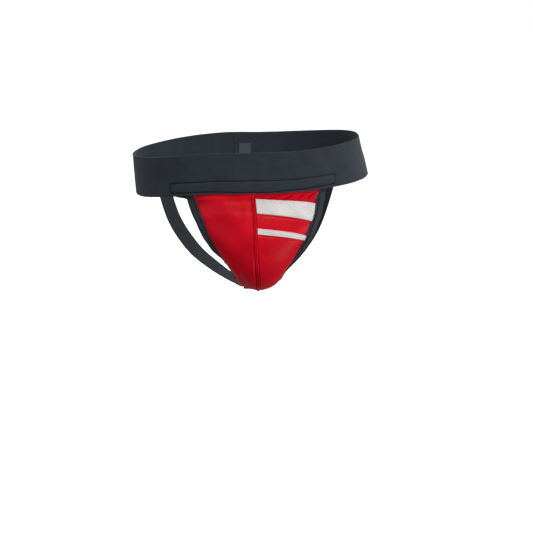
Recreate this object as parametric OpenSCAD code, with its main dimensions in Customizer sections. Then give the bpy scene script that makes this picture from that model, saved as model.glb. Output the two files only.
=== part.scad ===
// Groin protector: a supporter with a wide elastic waistband, a seamed leather pouch,
// two leg straps and a removable vented cup that lifts out of a pocket behind the pouch.
// Millimetres. +X is the wearer's left, -Y the front, +Z up.
// The origin is the centre of the waist loop, at the middle of the band's height.

/* [Waistband] */
// Height of the waistband elastic
band_h = 60; // [40:1:80]
// Half of the waist loop's width
band_half_w = 177; // [150:1:190]
// Distance from the centre of the loop to the front of the band
band_front = 118; // [105:1:130]
// Distance from the centre of the loop to the back of the band
band_back = 112; // [100:1:125]
// Squareness of the loop in plan, where 2 is an ellipse
band_square = 2.4; // [2:0.1:3]
// Thickness of the elastic
band_t = 2; // [1.5:0.1:3]
// How far the band rides up on the wearer's left hip and down on the right
hip_tilt = 16; // [0:1:20]
// How far both sides sag below the front
hip_sag = 2.5; // [0:0.5:6]
// Outward flare of the lower edge over the left hip
left_flare = 8; // [0:1:10]
// Outward flare of the lower edge over the right hip
right_flare = -2; // [-4:1:4]

/* [Pouch] */
// Thickness of the outer leather
leather_t = 1.6; // [1.2:0.1:2]
// Thickness of the soft lining
lining_t = 1; // [0.8:0.1:1.4]
// Width of the folded binding that shows beside the leather
binding_w = 12; // [8:1:14]
// Thickness of the folded binding
binding_t = 4.4; // [4:0.1:5]
// Width of the broad trim strip
broad_strip_w = 19; // [14:1:20]
// Width of the slim trim strip
slim_strip_w = 8; // [6:1:9]

/* [Backing and stitching] */
// Half of the length of the strip sewn behind the front of the band
backing_half_l = 123; // [112:1:130]
// Height of that strip
backing_h = 22; // [18:1:24]
// Diameter of the sewing thread
thread_d = 0.8; // [0.5:0.1:1]

/* [Leg straps] */
// Width of a leg strap
strap_w = 25; // [20:1:30]
// Thickness of a leg strap
strap_t = 1.4; // [1.2:0.1:1.8]
// Angle round the band from the front to the strap's upper end
strap_angle = 120; // [112:1:126]

/* [Cup] */
// Half of the cup's width at its middle
cup_half_w = 42; // [36:1:44]
// Extra half width at the top, and as much less at the bottom
cup_taper = 7; // [4:1:9]
// Depth from the front of the cup back to its side edges
cup_depth = 30; // [24:1:32]
// Thickness of the cup's wall
cup_t = 2.6; // [2:0.1:3]
// Radius of the soft edge round the cup
gasket_r = 2.8; // [2.4:0.1:3]
// Radius of a vent hole
vent_r = 3; // [2:0.5:4]

/* [Hidden] */

layer_gap = 0.3; // clearance between layers that are sewn together
curve_gap = 0.5; // clearance where the two layers' facets differ
$fn = 32;

// Centre line of the pouch from the hem behind the band to the crotch: [y, z]
seam_line = [[-115.6, -12], [-118, -36], [-134, -64], [-148, -98], [-149, -132], [-137, -159],
    [-110, -179], [-65, -186]];
// Half width of the leather, depth of its side edges behind the seam, sideways shift of the
// pouch, and lean of the seam towards the wearer's right, at the same stations
pouch_half_w = [98, 91, 80, 66, 53, 43, 33, 21];
pouch_depth = [11, 12, 17, 25, 29, 27, 17, 1.5];
pouch_shift = [5, 5, 6, 7, 8, 9, 9, 9];
seam_lean = [-6, -6, -5, -5, -4, -2, 0, 0];
// Turn of the cross-section from the seam to the side edge, and the share of its depth that
// is a straight slope, which keeps the seam slightly proud
section_turn = 75;
ridge = 0.2;

// Station along the pouch where the leather comes out from under the band
hem_z = -32;
hem_blend = 26;

// Front line of the cup from its top to its bottom: [y, z]
cup_line = [[-112, -50], [-128, -70], [-139, -98], [-141, -127], [-132, -151], [-113, -168]];
cup_x = 7;
// Vents: [across, along] in the unit disc that the cup's outline fills
vents = [for (q = [-0.45, -0.1, 0.25]) for (p = [-0.42, 0, 0.42]) [p, q]];

// Leg strap's middle line on the wearer's left, between the crotch and the band
strap_route = [[14, -60, -184], [24, -28, -185.5], [50, 14, -177], [86, 50, -151], [116, 71, -108]];
// Drift of both straps towards the pouch's tail, which hangs off centre
strap_drift = [9, 7, 4, 1, 0];
// Direction that the strap's outer face looks in at those points
strap_faces = [[0, -0.1, -1], [0.1, 0.15, -1], [0.3, 0.5, -0.8], [0.45, 0.75, -0.45],
    [0.58, 0.8, -0.1]];

// ---- General functions -------------------------------------------------------------------

function mix(a, b, k) = a + (b - a) * k;
function clamp01(k) = min(max(k, 0), 1);
function smooth(k) = let (c = clamp01(k)) c * c * (3 - 2 * c);
function unit(v) = v / norm(v);
function flat(list) = [for (row = list) each row];
function steps(n, a = 0, b = 1) = [for (i = [0:n]) mix(a, b, i / n)];

// Point k of a list, carried on in a straight line past both ends
function ahead(list, k) =
    let (n = len(list) - 1)
    k < 0 ? 2 * list[0] - list[1] : k > n ? 2 * list[n] - list[n - 1] : list[k];

// Smooth curve through a list of numbers or points, for k from 0 to 1
function through(list, k) =
    let (
        n = len(list) - 1,
        i = min(floor(clamp01(k) * n), n - 1),
        f = clamp01(k) * n - i,
        a = ahead(list, i - 1),
        b = list[i],
        c = list[i + 1],
        d = ahead(list, i + 2)
    )
    0.5 * (2 * b + (c - a) * f + (2 * a - 5 * b + 4 * c - d) * f * f
        + (3 * b - a - 3 * c + d) * f * f * f);

// Two triangles for the square between rows i and i2, columns j and j2
function cell(a, b, c, d, flip) = flip ? [[a, c, b], [a, d, c]] : [[a, b, c], [a, c, d]];

// Closed solid between two grids of points with the same rows and columns. Seen from outside,
// the rows run down as the columns run to the right, or to the left on a mirrored sheet.
module sheet(front, back, wrap = false, mirrored = false) {
    outer = mirrored ? back : front;
    inner = mirrored ? front : back;
    rows = len(outer);
    cols = len(outer[0]);
    half = rows * cols;
    last = wrap ? rows - 1 : rows - 2;
    walls = flat([for (i = [0:last]) for (j = [0:cols - 2])
        let (a = i * cols + j, b = ((i + 1) % rows) * cols + j)
        concat(cell(a, a + 1, b + 1, b, false), cell(half + a, half + a + 1, half + b + 1, half + b, true))]);
    sides = flat([for (i = [0:last])
        let (a = i * cols, b = ((i + 1) % rows) * cols, c = cols - 1)
        concat(cell(a, half + a, half + b, b, true), cell(a + c, half + a + c, half + b + c, b + c, false))]);
    ends = wrap ? [] : flat([for (j = [0:cols - 2])
        let (a = j, b = (rows - 1) * cols + j)
        concat(cell(a, a + 1, half + a + 1, half + a, true), cell(b, b + 1, half + b + 1, half + b, false))]);
    polyhedron(concat(flat(outer), flat(inner)), concat(walls, sides, ends), convexity = 10);
}

// Tube of round section along a list of points; a ring when closed
module tube(path, r, sides = 6, closed = false) {
    n = len(path);
    rings = [for (i = [0:n - 1])
        let (
            before = closed ? path[(i + n - 1) % n] : path[max(i - 1, 0)],
            after = closed ? path[(i + 1) % n] : path[min(i + 1, n - 1)],
            along = unit(after - before),
            up = abs(along.x) > 0.9 ? [0, 0, 1] : [1, 0, 0],
            side = unit(cross(along, up)),
            top = cross(side, along)
        )
        [for (k = [0:sides - 1]) path[i] + r * (side * cos(360 * k / sides) + top * sin(360 * k / sides))]];
    last = closed ? n - 1 : n - 2;
    walls = flat([for (i = [0:last]) for (k = [0:sides - 1])
        let (a = i * sides, b = ((i + 1) % n) * sides, k2 = (k + 1) % sides)
        cell(a + k, a + k2, b + k2, b + k, false)]);
    caps = closed ? [] : flat([for (k = [1:sides - 2])
        [[0, k + 1, k], [(n - 1) * sides, (n - 1) * sides + k, (n - 1) * sides + k + 1]]]);
    polyhedron(flat(rings), concat(walls, caps), convexity = 10);
}

// ---- Waistband surface -------------------------------------------------------------------

// Plan of the loop at an angle from the front, positive towards the wearer's left
function plan(a) =
    let (
        depth = cos(a) > 0 ? band_front : band_back,
        r = pow(pow(abs(sin(a)) / band_half_w, band_square)
            + pow(abs(cos(a)) / depth, band_square), -1 / band_square)
    )
    [r * sin(a), -r * cos(a)];
function plan_out(a) = let (d = plan(a + 0.5) - plan(a - 0.5)) unit([d.y, -d.x]);
function band_rise(a) = hip_tilt * pow(sin(a), 3) - hip_sag * pow(sin(a), 2);
function band_flare(a) = (sin(a) > 0 ? left_flare : right_flare) * pow(abs(sin(a)), 3);

// Point on the band at angle a, height t above its middle, off millimetres outside its face
function on_band(a, t, off = 0) =
    let (p = plan(a) + plan_out(a) * (off - band_flare(a) * 2 * t / band_h))
    [p.x, p.y, t + band_rise(a)];

// Angle at which the front of the band has a given x
function angle_at(x) =
    let (y = band_front * pow(1 - pow(abs(x) / band_half_w, band_square), 1 / band_square))
    atan2(x, y);

// Patch that lies on the band between two angles and two heights
module band_patch(a0, a1, t0, t1, off, thick, n) {
    outer = [for (a = steps(n, a0, a1)) [for (t = [t0, t1]) on_band(a, t, off)]];
    inner = [for (a = steps(n, a0, a1)) [for (t = [t0, t1]) on_band(a, t, off - thick)]];
    sheet(outer, inner);
}

// ---- Pouch surface -----------------------------------------------------------------------

// Point on the leather's outer face: u from -1 at the right edge to 1 at the left edge,
// v from 0 at the hem to 1 at the crotch
function leather(u, v) =
    let (
        c = through(seam_line, v),
        along = unit(through(seam_line, min(v + 0.01, 1)) - through(seam_line, max(v - 0.01, 0))),
        turn = section_turn * abs(u),
        across = through(pouch_half_w, v) * sin(turn) / sin(section_turn) * sign(u),
        x = across + through(pouch_shift, v) + through(seam_lean, v) * (1 - u * u),
        depth = through(pouch_depth, v)
            * ((1 - ridge) * (1 - cos(turn)) / (1 - cos(section_turn)) + ridge * abs(u)),
        a = angle_at(x),
        hem = on_band(a, c.y, -band_t - curve_gap),
        k = smooth((hem_z - c.y) / hem_blend)
    )
    [x, mix(hem.y, c.x - along.y * depth, k), mix(hem.z, c.y + along.x * depth, k)];

// Unit normal of the leather, towards the wearer
function leather_in(u, v) =
    let (
        e = 0.01,
        du = leather(u + e, v) - leather(u - e, v),
        dv = leather(u, min(v + e, 1)) - leather(u, max(v - e, 0))
    )
    unit(cross(du, dv));
function pouch(u, v, depth = 0) = leather(u, v) + leather_in(u, v) * depth;

// Closed solid that follows the pouch between two depths
module pouch_sheet(us, vs, depth, thick) {
    sheet([for (v = vs) [for (u = us) pouch(u, v, depth)]],
        [for (v = vs) [for (u = us) pouch(u, v, depth + thick)]],
        mirrored = us[0] > us[1]);
}

// u of the point that lies a given distance to the side of the seam
function beside_seam(x, v) = asin(x * sin(section_turn) / through(pouch_half_w, v)) / section_turn;

// v of the seam point at a given height, found by halving
function v_at(z, lo = 0, hi = 0.7, n = 14) =
    let (m = (lo + hi) / 2)
    n == 0 ? m : through(seam_line, m).y > z ? v_at(z, m, hi, n - 1) : v_at(z, lo, m, n - 1);

// ---- Cup surface -------------------------------------------------------------------------

// Point on the cup's outer face for a point [p, q] of the unit disc, q up
function cup_face(p, q) =
    let (
        k = (1 - q) / 2,
        c = through(cup_line, k),
        along = unit(through(cup_line, min(k + 0.01, 1)) - through(cup_line, max(k - 0.01, 0))),
        depth = cup_depth * p * p
    )
    [cup_x + p * (cup_half_w + cup_taper * q), c.x - along.y * depth, c.y + along.x * depth];
function cup_in(p, q) =
    let (e = 0.01)
    unit(cross(cup_face(p + e, q) - cup_face(p - e, q), cup_face(p, q - e) - cup_face(p, q + e)));
function cup_at(p, q, depth = 0) = cup_face(p, q) + cup_in(p, q) * depth;

// Square grid folded onto the unit disc
function disc(a, b) = [a * sqrt(1 - b * b / 2), b * sqrt(1 - a * a / 2)];

// Point on the middle line of the gasket, just outside the cup's edge
function rim(angle) =
    let (
        p = sin(angle),
        q = cos(angle),
        edge = cup_at(p, q, cup_t / 2),
        inside = cup_at(0.95 * p, 0.95 * q, cup_t / 2)
    )
    edge + unit(edge - inside) * (gasket_r + curve_gap);

// ---- Waistband pieces --------------------------------------------------------------------

module waistband() {
    angles = [for (i = [0:95]) i * 360 / 96];
    color("#31363a")
        sheet([for (a = angles) [for (t = [-band_h / 2, band_h / 2]) on_band(a, t)]],
            [for (a = angles) [for (t = [-band_h / 2, band_h / 2]) on_band(a, t, -band_t)]], wrap = true);
}

module back_join_patch() {
    color("#2b2f33")
        band_patch(171, 189, 3 - band_h / 2, band_h / 2 - 3, -band_t - layer_gap, 1, 6);
}

module care_label() {
    color("#5a5e64")
        band_patch(175, 185, -12, 12, -band_t - 1 - 2 * layer_gap, 0.6, 4);
}

backing_t = 1;
backing_drop = 8; // how far it hangs below the band beside the pouch
hem_room = 5.8; // space between band and backing that the pouch's hems fill
hem_half_w = 118; // half width of that space, about the pouch's own centre line
hem_x = 5;

// Lower edge of the backing: level with the band at its ends, just below it beside the pouch
function backing_low(x) =
    1 - band_h / 2 - backing_drop * smooth((backing_half_l - abs(x)) / 30);
// Depth of the backing behind the band: flat on it at the ends, behind the hems in the middle
function backing_off(x) = -band_t - layer_gap - hem_room * smooth((hem_half_w - abs(x - hem_x)) / 9);

module front_backing() {
    xs = steps(44, -backing_half_l, backing_half_l);
    top = backing_h - band_h / 2 - 2;
    color("#24272c")
        sheet([for (x = xs) [for (t = [backing_low(x), top]) on_band(angle_at(x), t, backing_off(x))]],
            [for (x = xs) [for (t = [backing_low(x), top]) on_band(angle_at(x), t, backing_off(x) - backing_t)]]);
}

module hem_topstitch() {
    high = 19 - band_h / 2;
    low = 4.5 - band_h / 2;
    a = angle_at(backing_half_l - 2);
    out = thread_d / 2 + 0.1;
    color("#15171a") {
        tube([for (k = steps(48, -a, a)) on_band(k, high, out)], thread_d / 2);
        tube([for (k = steps(48, -a, a)) on_band(k, low, out)], thread_d / 2);
        for (k = [-a, a])
            tube([for (t = steps(4, low + 1.2, high - 1.2)) on_band(k, t, out)], thread_d / 2);
    }
}

// ---- Pouch pieces ------------------------------------------------------------------------

panel_v = steps(26);
seam_u = 0.002;

module pouch_panel(side) {
    color("#c01028")
        pouch_sheet([for (k = steps(12)) side * mix(seam_u, 1, k)], panel_v, 0, leather_t);
}
module pouch_panel_right() {
    pouch_panel(-1);
}
module pouch_panel_left() {
    pouch_panel(1);
}

// Narrow tape along the back of the centre seam
tape_t = 0.8;
tape_x = [-5, 0, 5];
tape_depth = leather_t + layer_gap;

module centre_seam_tape() {
    color("#8c1020")
        sheet([for (v = panel_v) [for (x = tape_x) pouch(beside_seam(x, v), v, tape_depth)]],
            [for (v = panel_v) [for (x = tape_x) pouch(beside_seam(x, v), v, tape_depth + tape_t)]]);
}

module seam_topstitch() {
    color("#8c1020")
        for (x = [-2.4, 2.4])
            tube([for (v = steps(40, 0.14, 0.99))
                pouch(beside_seam(x, v), v, -thread_d / 2 - layer_gap)], thread_d / 2);
}

strip_t = 1;
// Heights on the seam of each strip's upper edge, and how far it drops towards the side
broad_top = -38;
slim_top = -77;
strip_drop = 7;
// Where the strips start and end across the left panel
strip_u = [0.035, 0.985];

// Station along the pouch of a line on a strip, a given distance below the strip's upper edge
function strip_v(top, below, u) = v_at(top - below - strip_drop * u);

// Strip from the seam welt to the binding
module trim_strip(top, width) {
    us = steps(14, strip_u[0], strip_u[1]);
    color("#e4e2e0")
        sheet([for (b = steps(2, 0, width)) [for (u = us) pouch(u, strip_v(top, b, u), -curve_gap - strip_t)]],
            [for (b = steps(2, 0, width)) [for (u = us) pouch(u, strip_v(top, b, u), -curve_gap)]]);
}
module trim_strip_broad() {
    trim_strip(broad_top, broad_strip_w);
}
module trim_strip_slim() {
    trim_strip(slim_top, slim_strip_w);
}

module trim_topstitch() {
    for (line = [[broad_top, 1.8], [broad_top, broad_strip_w - 1.8], [slim_top, 1.5],
            [slim_top, slim_strip_w - 1.5]])
        color("#cfcdca")
            tube([for (u = steps(14, strip_u[0] + 0.02, strip_u[1] - 0.02))
                pouch(u, strip_v(line[0], line[1], u), -2 * curve_gap - strip_t - thread_d / 2)],
                thread_d / 2);
}

lining_depth = leather_t + tape_t + layer_gap + curve_gap;

module lining(side) {
    color("#3a3d42")
        pouch_sheet([for (k = steps(8)) side * mix(seam_u, 0.99, k)], steps(20), lining_depth, lining_t);
}
module lining_right() {
    lining(-1);
}
module lining_left() {
    lining(1);
}

// Back of the cup pocket: hung from the side edges, it passes behind the cup
pocket_v = steps(18, 0.262, 0.97);
pocket_mouth_v = steps(3, 0.2, 0.258);
pocket_half_u = 0.86;
pocket_swell = [0, 6, 17, 22, 22, 19, 12, 3]; // bulge over the cup, at the seam's stations
pocket_room = 5; // extra depth behind the lining
function pocket_at(u, v, depth = 0) =
    let (
        edge = leather(u, v),
        seam = leather(0, v),
        inward = leather_in(0, v),
        low = through(pouch_depth, v) + pocket_room * smooth(v * 3),
        drop = (edge - seam) * inward
    )
    edge + inward * (low - drop + through(pocket_swell, v) * (1 - pow(abs(u), 3)) + depth);

module pocket_sheet(vs, depth, thick) {
    us = steps(14, -pocket_half_u, pocket_half_u);
    sheet([for (v = vs) [for (u = us) pocket_at(u, v, depth)]],
        [for (v = vs) [for (u = us) pocket_at(u, v, depth + thick)]]);
}
module pocket_back() {
    color("#34373c")
        pocket_sheet(pocket_v, 0, lining_t);
}
module pocket_top_elastic() {
    color("#202226")
        pocket_sheet(pocket_mouth_v, -0.3, 1.6);
}

// Binding: starts at the leather's edge and carries on outwards. Below the band it turns away
// from the leather's own direction, to lie flat to the front, and turns back near the crotch.
edge_turn = 1.4;
edge_turn_end = -140;
function edge_out(side, v) =
    let (
        z = through(seam_line, v).y,
        turn = edge_turn * smooth((hem_z - z) / 14) * smooth((z - edge_turn_end) / 35)
    )
    unit(unit(leather(side, v) - leather(side * 0.96, v)) + [side * turn, 0, 0]);
function beside_edge(side, v, out, depth) =
    let (
        o = edge_out(side, v),
        n = leather_in(side, v)
    )
    leather(side, v) + o * out + unit(n - o * (n * o)) * depth;

// Depths of the binding's face at its inner edge, middle and outer edge: it stands a little
// proud of the leather, and goes flat behind the band
function binding_lift(v) =
    mix([0.3, 0.9, 1.9], [-0.4, -0.8, 0.9], smooth((hem_z - through(seam_line, v).y) / 14));

module binding(side) {
    vs = steps(30);
    outs = [0.4, binding_w / 2, binding_w];
    color("#202328")
        sheet([for (v = vs) [for (k = [0:2]) beside_edge(side, v, outs[k], binding_lift(v)[k])]],
            [for (v = vs) [for (k = [0:2]) beside_edge(side, v, outs[k], binding_t + k * 0.3)]],
            mirrored = side < 0);
}
module binding_right() {
    binding(-1);
}
module binding_left() {
    binding(1);
}

module binding_topstitch() {
    color("#101214")
        for (side = [-1, 1])
            tube([for (v = steps(40, 0.14, 0.98)) beside_edge(side, v, 2.4, -0.75 - thread_d)], thread_d / 2);
}

// ---- Leg straps --------------------------------------------------------------------------

// Two tabs of webbing that the pouch's tail and both straps are sewn between
tab_half_w = 19;
tab_t = 1.2;

module crotch_tab(front_y, back_y, z) {
    color("#24272c")
        translate([pouch_shift[7] - tab_half_w, front_y, z])
            cube([2 * tab_half_w, back_y - front_y, tab_t]);
}
module crotch_tab_lower() {
    crotch_tab(-69, -45, -187.9);
}
module crotch_tab_upper() {
    crotch_tab(-69, -45, -179.4);
}

// Whole route of the strap on one side, with its last two points on the band
strap_off = -band_t - strap_t / 2 - 3.8;
strap_lap = [-38, -8];
function strap_middle(side) = concat(
    [for (i = [0:4]) let (c = strap_route[i]) [side * c.x + strap_drift[i], c.y, c.z]],
    [for (t = strap_lap) on_band(side * strap_angle, t, strap_off)]);
function strap_normals(side) =
    let (n = plan_out(side * strap_angle))
    concat([for (c = strap_faces) [side * c.x, c.y, c.z]], [for (t = strap_lap) [n.x, n.y, 0]]);

// Point of the strap at k along it: across its width, and depth towards its outer face
function strap_at(side, k, across, depth) =
    let (
        middle = strap_middle(side),
        along = unit(through(middle, min(k + 0.01, 1)) - through(middle, max(k - 0.01, 0))),
        face = unit(through(strap_normals(side), k)),
        edge = unit(cross(along, face)),
        out = cross(edge, along)
    )
    through(middle, k) + edge * across * strap_w + out * depth;

module leg_strap(side) {
    ks = steps(34);
    color("#2b2f33")
        sheet([for (k = ks) [for (w = [0.5, 0, -0.5]) strap_at(side, k, w, strap_t / 2)]],
            [for (k = ks) [for (w = [0.5, 0, -0.5]) strap_at(side, k, w, -strap_t / 2)]]);
}
module leg_strap_right() {
    leg_strap(-1);
}
module leg_strap_left() {
    leg_strap(1);
}

module strap_bartacks() {
    inside = -strap_t / 2 - 0.1 - thread_d / 2;
    color("#101214")
        for (side = [-1, 1])
            for (k = [0.9, 0.97])
                tube([for (w = steps(4, -0.42, 0.42)) strap_at(side, k, w, inside)], thread_d / 2);
}

// ---- Cup ---------------------------------------------------------------------------------

module cup_shell() {
    n = 16;
    grid = [for (b = steps(n, -1, 1)) [for (a = steps(n, -1, 1)) disc(a, b)]];
    color("#d9dcdf")
        difference() {
            sheet([for (row = grid) [for (d = row) cup_at(d.x, d.y, cup_t)]],
                [for (row = grid) [for (d = row) cup_at(d.x, d.y)]]);
            for (v = vents) {
                c = cup_at(v.x, v.y, cup_t / 2);
                translate([c.x, c.y + 12, c.z])
                    rotate([90, 0, 0])
                        cylinder(h = 24, r = vent_r);
            }
        }
}

module cup_gasket() {
    color("#202124")
        tube([for (i = [0:55]) rim(i * 360 / 56)], gasket_r, sides = 8, closed = true);
}

waistband();
back_join_patch();
care_label();
front_backing();
hem_topstitch();
pouch_panel_right();
pouch_panel_left();
centre_seam_tape();
seam_topstitch();
trim_strip_broad();
trim_strip_slim();
trim_topstitch();
lining_right();
lining_left();
pocket_back();
pocket_top_elastic();
binding_right();
binding_left();
binding_topstitch();
crotch_tab_lower();
crotch_tab_upper();
leg_strap_right();
leg_strap_left();
strap_bartacks();
cup_shell();
cup_gasket();
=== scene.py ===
import math

import bpy
import numpy as np
from mathutils import Matrix, Vector


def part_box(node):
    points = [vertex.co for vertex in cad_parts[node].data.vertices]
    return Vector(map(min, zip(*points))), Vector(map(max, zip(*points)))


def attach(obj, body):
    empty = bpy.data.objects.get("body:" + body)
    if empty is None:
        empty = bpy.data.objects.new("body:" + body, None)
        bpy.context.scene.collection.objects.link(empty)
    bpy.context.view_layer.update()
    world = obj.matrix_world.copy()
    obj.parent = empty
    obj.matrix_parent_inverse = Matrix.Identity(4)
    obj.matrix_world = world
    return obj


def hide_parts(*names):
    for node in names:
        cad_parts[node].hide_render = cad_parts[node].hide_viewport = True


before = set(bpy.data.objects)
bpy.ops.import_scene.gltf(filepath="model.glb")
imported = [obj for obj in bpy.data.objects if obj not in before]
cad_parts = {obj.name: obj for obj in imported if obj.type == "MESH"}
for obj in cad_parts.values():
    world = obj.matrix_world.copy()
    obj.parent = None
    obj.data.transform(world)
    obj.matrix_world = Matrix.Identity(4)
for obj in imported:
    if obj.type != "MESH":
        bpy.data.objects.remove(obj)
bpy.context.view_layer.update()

# Looks of the groin protector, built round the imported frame.
# The shape functions work in millimetres and radians; meshes are written in metres.
# +X is the wearer's left, -Y the front, +Z up, and the origin is the centre of the waist loop.
MM = 0.001
SIDES = ((-1, "right"), (1, "left"))

# Waistband
BAND_H = 60
BAND_HALF_W = 177
BAND_FRONT = 118
BAND_BACK = 112
BAND_SQUARE = 2.4
BAND_T = 2
BAND_R = 148  # turns an angle round the band into a length along it
HIP_TILT = 16
HIP_SAG = 2.5
LEFT_FLARE = 8
RIGHT_FLARE = -2

# Strip behind the band, and the rows of stitches that hold it
BACKING_HALF_L = 123
BACKING_TOP = -10
BACKING_DROP = 8
BACKING_T = 1
HEM_ROOM = 5.8
HEM_HALF_W = 118
HEM_X = 5
HEM_STITCH_HALF_L = 121
HEM_STITCH_TOP = -11

# Pouch, at eight stations from the hem behind the band to the crotch
SEAM_LINE = [[-115.6, -12], [-118, -36], [-134, -64], [-148, -98], [-149, -132], [-137, -159],
             [-110, -179], [-65, -186]]
POUCH_HALF_W = [98, 91, 80, 66, 53, 43, 33, 21]
POUCH_DEPTH = [11, 12, 17, 25, 29, 27, 17, 1.5]
POUCH_SHIFT = [5, 5, 6, 7, 8, 9, 9, 9]
SEAM_LEAN = [-6, -6, -5, -5, -4, -2, 0, 0]
SEAM_LENGTH = 232
SECTION_TURN = math.radians(75)
RIDGE = 0.2
HEM_Z = -32
HEM_BLEND = 26
LEATHER_T = 1.6
DEEPEST_FOLD = 2.1
LINING_T = 1
LINING_DEPTH = 3.2
SEAM_TAPE_W = 10
SEAM_STITCH_X = 2.4
STITCHED_V = (0.14, 0.99)

# Trim strips: height of the upper edge at the seam, and width
BROAD_STRIP = (-38, 19)
SLIM_STRIP = (-77, 8)
STRIP_DROP = 7
STRIP_T = 1
STRIP_STITCH_IN = 1.6
STRIP_FOLLOWS = 0.75  # share of the leather's relief that shows in a strip
STRIP_U = (0.035, 0.985)

# Cup pocket
POCKET_V = (0.262, 0.97)
POCKET_MOUTH_V = (0.2, 0.258)
POCKET_SWELL = [0, 6, 17, 22, 22, 19, 12, 3]
POCKET_HALF_U = 0.86
POCKET_ROOM = 5

# Binding
BINDING_W = 12
BINDING_T = 4.4
BINDING_LIP = 1.5
BINDING_STITCH_OUT = 2.2
BINDING_STITCHED_V = (0.14, 0.98)
BINDING_TAPER = 0.6
BINDING_TAPER_V = 0.88
EDGE_TURN = 1.4
EDGE_TURN_END = -140

# Leg straps and the tabs that join them to the pouch
STRAP_W = 25
STRAP_T = 1.4
STRAP_ANGLE = math.radians(120)
STRAP_ROUTE = [[14, -60, -184], [24, -28, -185.5], [50, 14, -177], [86, 50, -151], [116, 71, -108]]
STRAP_DRIFT = [9, 7, 4, 1, 0]
STRAP_FACES = [[0, -0.1, -1], [0.1, 0.15, -1], [0.3, 0.5, -0.8], [0.45, 0.75, -0.45],
               [0.58, 0.8, -0.1]]
STRAP_OFF = -6.5
STRAP_LAP = (-38, -8)
BARTACK_K = (0.9, 0.97)

# Patches inside the back of the band: degrees round from the front, and heights
JOIN_PATCH_ANGLES = (171, 189)
JOIN_PATCH_HEIGHTS = (-27, 27)
LABEL_ANGLES = (175, 185)
LABEL_HEIGHTS = (-12, 12)

# Cup
CUP_LINE = [[-112, -50], [-128, -70], [-139, -98], [-141, -127], [-132, -151], [-113, -168]]
CUP_X = 7
CUP_HALF_W = 42
CUP_TAPER = 7
CUP_DEPTH = 30
CUP_T = 2.6
GASKET_R = 2.8
GASKET_GAP = 0.5
VENT_R = 3
VENTS = [(p, q) for q in (-0.45, -0.1, 0.25) for p in (-0.42, 0, 0.42)]


# ---- General functions ----

def mix(a, b, k):
    return a + (b - a) * k


def smooth(k):
    k = np.clip(k, 0, 1)
    return k * k * (3 - 2 * k)


def bell(x, width):
    return np.exp(-(x / width) ** 2)


def unit(v):
    return v / np.linalg.norm(v, axis=-1, keepdims=True)


def vec(*parts):
    return np.stack(np.broadcast_arrays(*parts), axis=-1)


def steps(n, a=0.0, b=1.0):
    return np.linspace(a, b, n + 1)


def crowded(n):
    """n + 1 values from -1 to 1, closest together at both ends."""
    return np.sin(steps(n, -1, 1) * math.pi / 2)


def grid(rows, cols):
    """The row's value and the column's value at each point of a grid."""
    return np.broadcast_arrays(rows[:, None], cols[None, :])


def through(values, k):
    """Smooth curve through a list of numbers or points, for k from 0 to 1."""
    values = np.asarray(values, float)
    n = len(values) - 1
    before = 2 * values[0] - values[1]
    after = 2 * values[n] - values[n - 1]
    knots = np.concatenate([[before], values, [after]])
    k = np.clip(np.asarray(k, float), 0, 1) * n
    i = np.minimum(k.astype(int), n - 1)
    f = k - i
    if values.ndim > 1:
        f = f[..., None]
    a, b, c, d = knots[i], knots[i + 1], knots[i + 2], knots[i + 3]
    return 0.5 * (2 * b + (c - a) * f + (2 * a - 5 * b + 4 * c - d) * f * f
                  + (3 * b - a - 3 * c + d) * f ** 3)


def heading(values, k):
    """Unit direction of that curve."""
    return unit(through(values, np.minimum(k + 0.01, 1)) - through(values, np.maximum(k - 0.01, 0)))


def ripple(x, y, wavelength, seed):
    """Soft random waves of about that wavelength, between -1 and 1, the same on each run."""
    rng = np.random.default_rng(seed)
    total = 0
    for _ in range(7):
        turn = rng.uniform(0, 2 * math.pi)
        size = 2 * math.pi / (wavelength * rng.uniform(0.7, 1.6))
        phase = rng.uniform(0, 2 * math.pi)
        total = total + np.sin(size * (x * math.cos(turn) + y * math.sin(turn)) + phase)
    return total / 4


def arc(line):
    """Distance along a list of points."""
    return np.concatenate([[0], np.cumsum(np.linalg.norm(np.diff(line, axis=0), axis=1))])


def point_on(line, at):
    """Points at given distances along a list of points."""
    s = arc(line)
    return np.stack([np.interp(at, s, line[:, i]) for i in range(3)], axis=-1)


# ---- Mesh builders ----

def quads(corners):
    return np.stack([corners[:-1, :-1], corners[:-1, 1:], corners[1:, 1:], corners[1:, :-1]],
                    axis=-1).reshape(-1, 4)


def add(name, data):
    """New object in the scene."""
    made = bpy.data.objects.new(name, data)
    bpy.context.scene.collection.objects.link(made)
    return made


def signed_volume(points, faces):
    total = 0.0
    for k in range(1, faces.shape[1] - 1):
        a, b, c = points[faces[:, 0]], points[faces[:, k]], points[faces[:, k + 1]]
        total += np.einsum("ij,ij->i", a, np.cross(b, c)).sum()
    return total


def mesh(name, points, faces, uvs, caps=()):
    """Smooth mesh in metres from points and four-sided faces in millimetres. uvs holds one pair
    of metres for each corner of each face. Faces are turned so that they look outwards."""
    if signed_volume(points, faces) < 0:
        faces = faces[:, ::-1]
        uvs = uvs.reshape(-1, 4, 2)[:, ::-1]
        caps = [cap[::-1] for cap in caps]
    data = bpy.data.meshes.new(name)
    data.from_pydata((points * MM).tolist(), [], faces.tolist() + [list(cap) for cap in caps])
    layer = data.uv_layers.new(name="metres")
    flat = np.zeros((len(data.loops), 2), np.float32)
    flat[:faces.size] = uvs.reshape(-1, 2) * MM
    layer.data.foreach_set("uv", flat.ravel())
    data.shade_smooth()
    data.set_sharp_from_angle(angle=math.radians(60))
    return add(name, data)


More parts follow.
